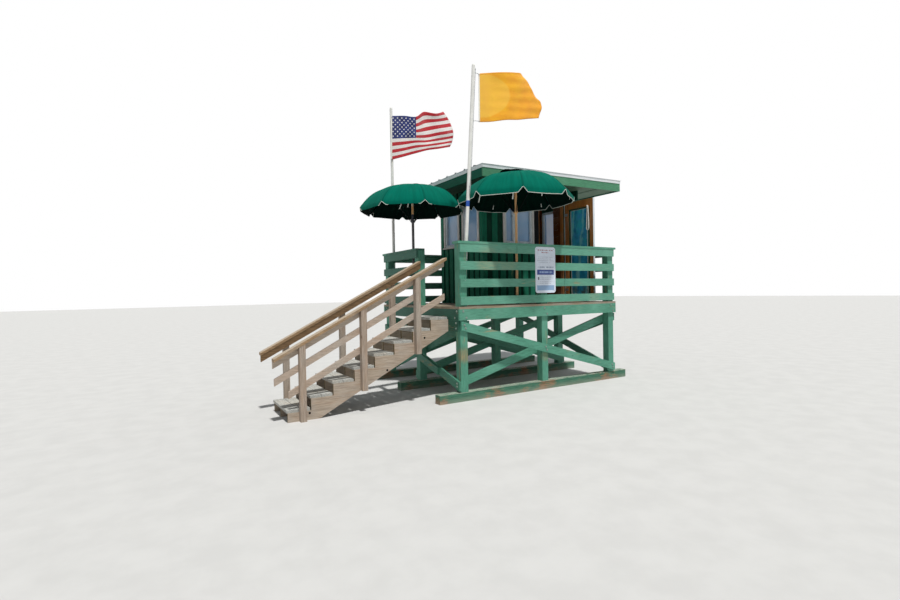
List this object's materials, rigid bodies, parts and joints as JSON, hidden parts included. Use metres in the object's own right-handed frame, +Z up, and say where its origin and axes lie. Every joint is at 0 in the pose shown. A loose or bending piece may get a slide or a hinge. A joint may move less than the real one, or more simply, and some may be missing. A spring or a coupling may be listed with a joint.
{
  "type": "lifeguard tower",
  "caption": "Lifeguard tower: a green railed timber deck on skids with an open stair, a glazed hut with a hinged door, green sunshades and flags.",
  "frame": {"origin": "centre of the posts' plan on the ground, at the underside of the middle skid", "axes": "X along the front to the right, Y from the front to the back, Z up"},
  "size_m": [7.3893, 4.0728, 5.83],
  "materials": {
    "green_paint": "satin",
    "raw_timber": "matte",
    "skid_timber": "matte",
    "inner_wood": "satin",
    "trim_paint": "satin",
    "window_glass": "clear",
    "panel_paint": "satin",
    "roof_metal": "satin",
    "pole_wood": "satin",
    "canopy_cloth": "matte",
    "white_paint": "gloss",
    "flag_cloth_plain": "matte",
    "flag_cloth_striped": "matte",
    "sign_paint": "satin",
    "black_paint": "satin",
    "hinge_steel": "satin"
  },
  "bodies": {
    "tower": {"skids": "skid_timber", "posts": "green_paint", "rims_long": "green_paint", "rims_side": "green_paint", "deck_joists": "raw_timber", "deck_boards": "raw_timber", "braces_long": "green_paint", "braces_side": "green_paint", "stair_stringers": "raw_timber", "stair_treads": "raw_timber", "stair_posts": "raw_timber", "stair_caps": "raw_timber", "stair_edge_boards": "raw_timber", "stair_low_rails": "raw_timber", "rail_boards_long": "green_paint", "rail_boards_side": "green_paint", "rail_caps_long": "green_paint", "rail_caps_side": "green_paint", "hut_front_wall": "green_paint", "jamb_plank": "black_paint", "hut_door_header": "green_paint", "door_casing": "trim_paint", "hut_left_wall": "green_paint", "hut_right_wall": "green_paint", "hut_back_wall": "green_paint", "window_frames": "trim_paint", "window_glass": "window_glass", "hinge_pins": "hinge_steel", "roof_rafters": "green_paint", "roof_fascias_long": "green_paint", "roof_fascias_side": "green_paint", "roof_sheathing": "green_paint", "roof_trim": "roof_metal", "roof_metal": "roof_metal", "shade_poles": "pole_wood", "shade_ribs": "pole_wood", "shade_canopies": "canopy_cloth", "shade_vents": "canopy_cloth", "flagpoles": "white_paint", "flag_plain": "flag_cloth_plain", "flag_striped": "flag_cloth_striped", "sign_plate": "sign_paint"},
    "door": {"hinge_leaves": "hinge_steel", "door_leaf": "inner_wood", "door_panel": "panel_paint"}
  },
  "joints": [
    {"name": "door_hinge", "type": "hinge", "parent": "tower", "child": "door", "pos_m": [1.692, -0.3, 2.64], "axis": [0, 0, 1], "range_deg": [-90, 1]}
  ]
}
